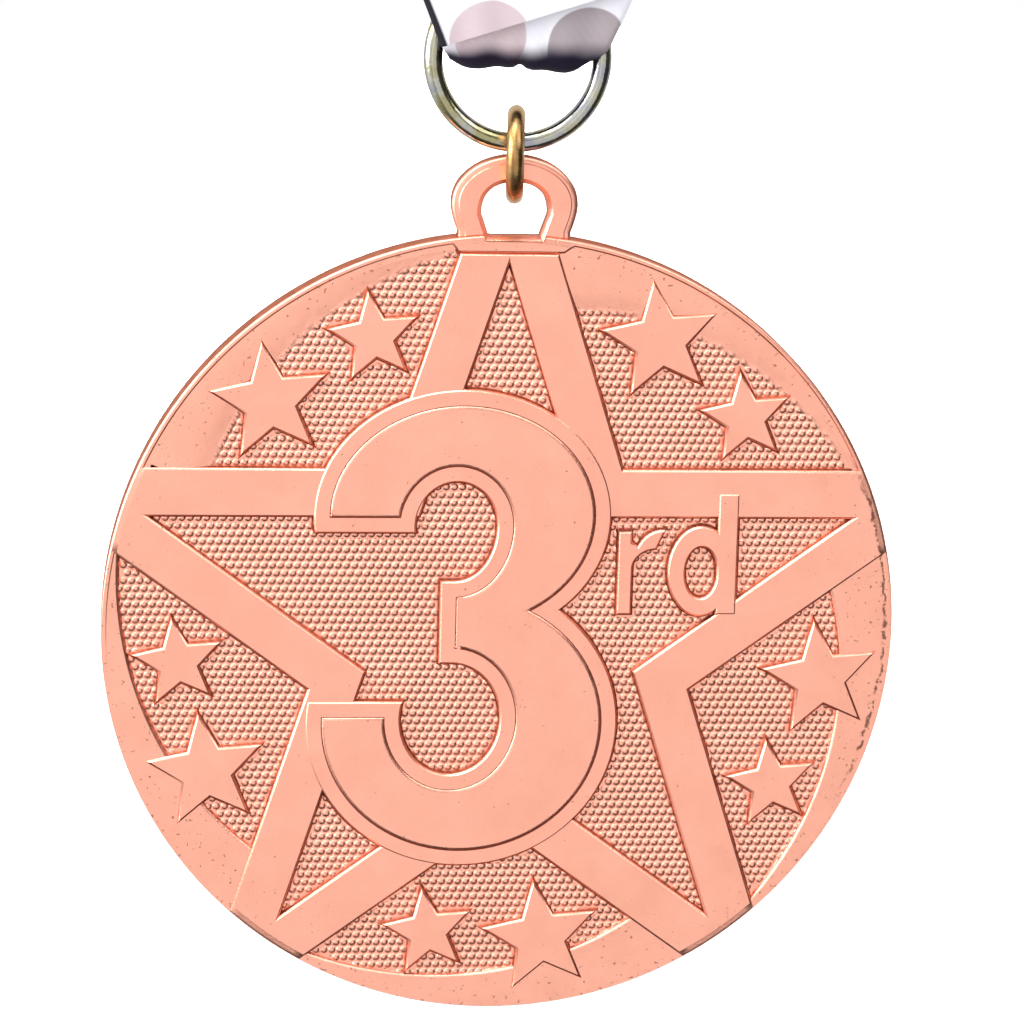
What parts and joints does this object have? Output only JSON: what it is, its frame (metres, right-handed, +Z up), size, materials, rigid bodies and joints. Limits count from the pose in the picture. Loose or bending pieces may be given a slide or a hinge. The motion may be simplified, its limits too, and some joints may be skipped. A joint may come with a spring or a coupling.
{
  "type": "sports finisher medal",
  "caption": "Round cast medal with a raised star, placing numeral and pebbled ground, hung by a jump ring and a round ring from a sewn neck ribbon.",
  "frame": {"origin": "middle of the inner face of the ribbon at the very top of its loop, where it bears on the neck or a hanger", "axes": "+Z up along the hanging medal, the medal's face looks along -Y and its flat back along +Y, +X to the right as the face is read"},
  "size_m": [0.1744, 0.015, 0.3827],
  "materials": {
    "copper_plate": "satin",
    "brass_wire": "polished",
    "nickel_plate": "polished",
    "ribbon_satin": "satin",
    "sewing_thread": "matte"
  },
  "bodies": {
    "ribbon": {"neck_ribbon": "ribbon_satin", "needle_thread": "sewing_thread", "bobbin_thread": "sewing_thread"},
    "round_ring": {"ribbon_ring": "nickel_plate"},
    "link": {"jump_ring": "brass_wire"},
    "medal": {"medal_casting": "copper_plate"}
  },
  "joints": [
    {"name": "ring_rock", "type": "hinge", "parent": "ribbon", "child": "round_ring", "pos_m": [0.00036, 0, -0.305], "axis": [1, 0, 0], "range_deg": [-10, 10]},
    {"name": "link_swing", "type": "hinge", "parent": "round_ring", "child": "link", "pos_m": [0.00036, 0, -0.31162], "axis": [1, 0, 0], "range_deg": [-80, 80]},
    {"name": "medal_sway", "type": "hinge", "parent": "link", "child": "medal", "pos_m": [0.00036, 0, -0.31573], "axis": [0, 1, 0], "range_deg": [-18, 18]}
  ]
}
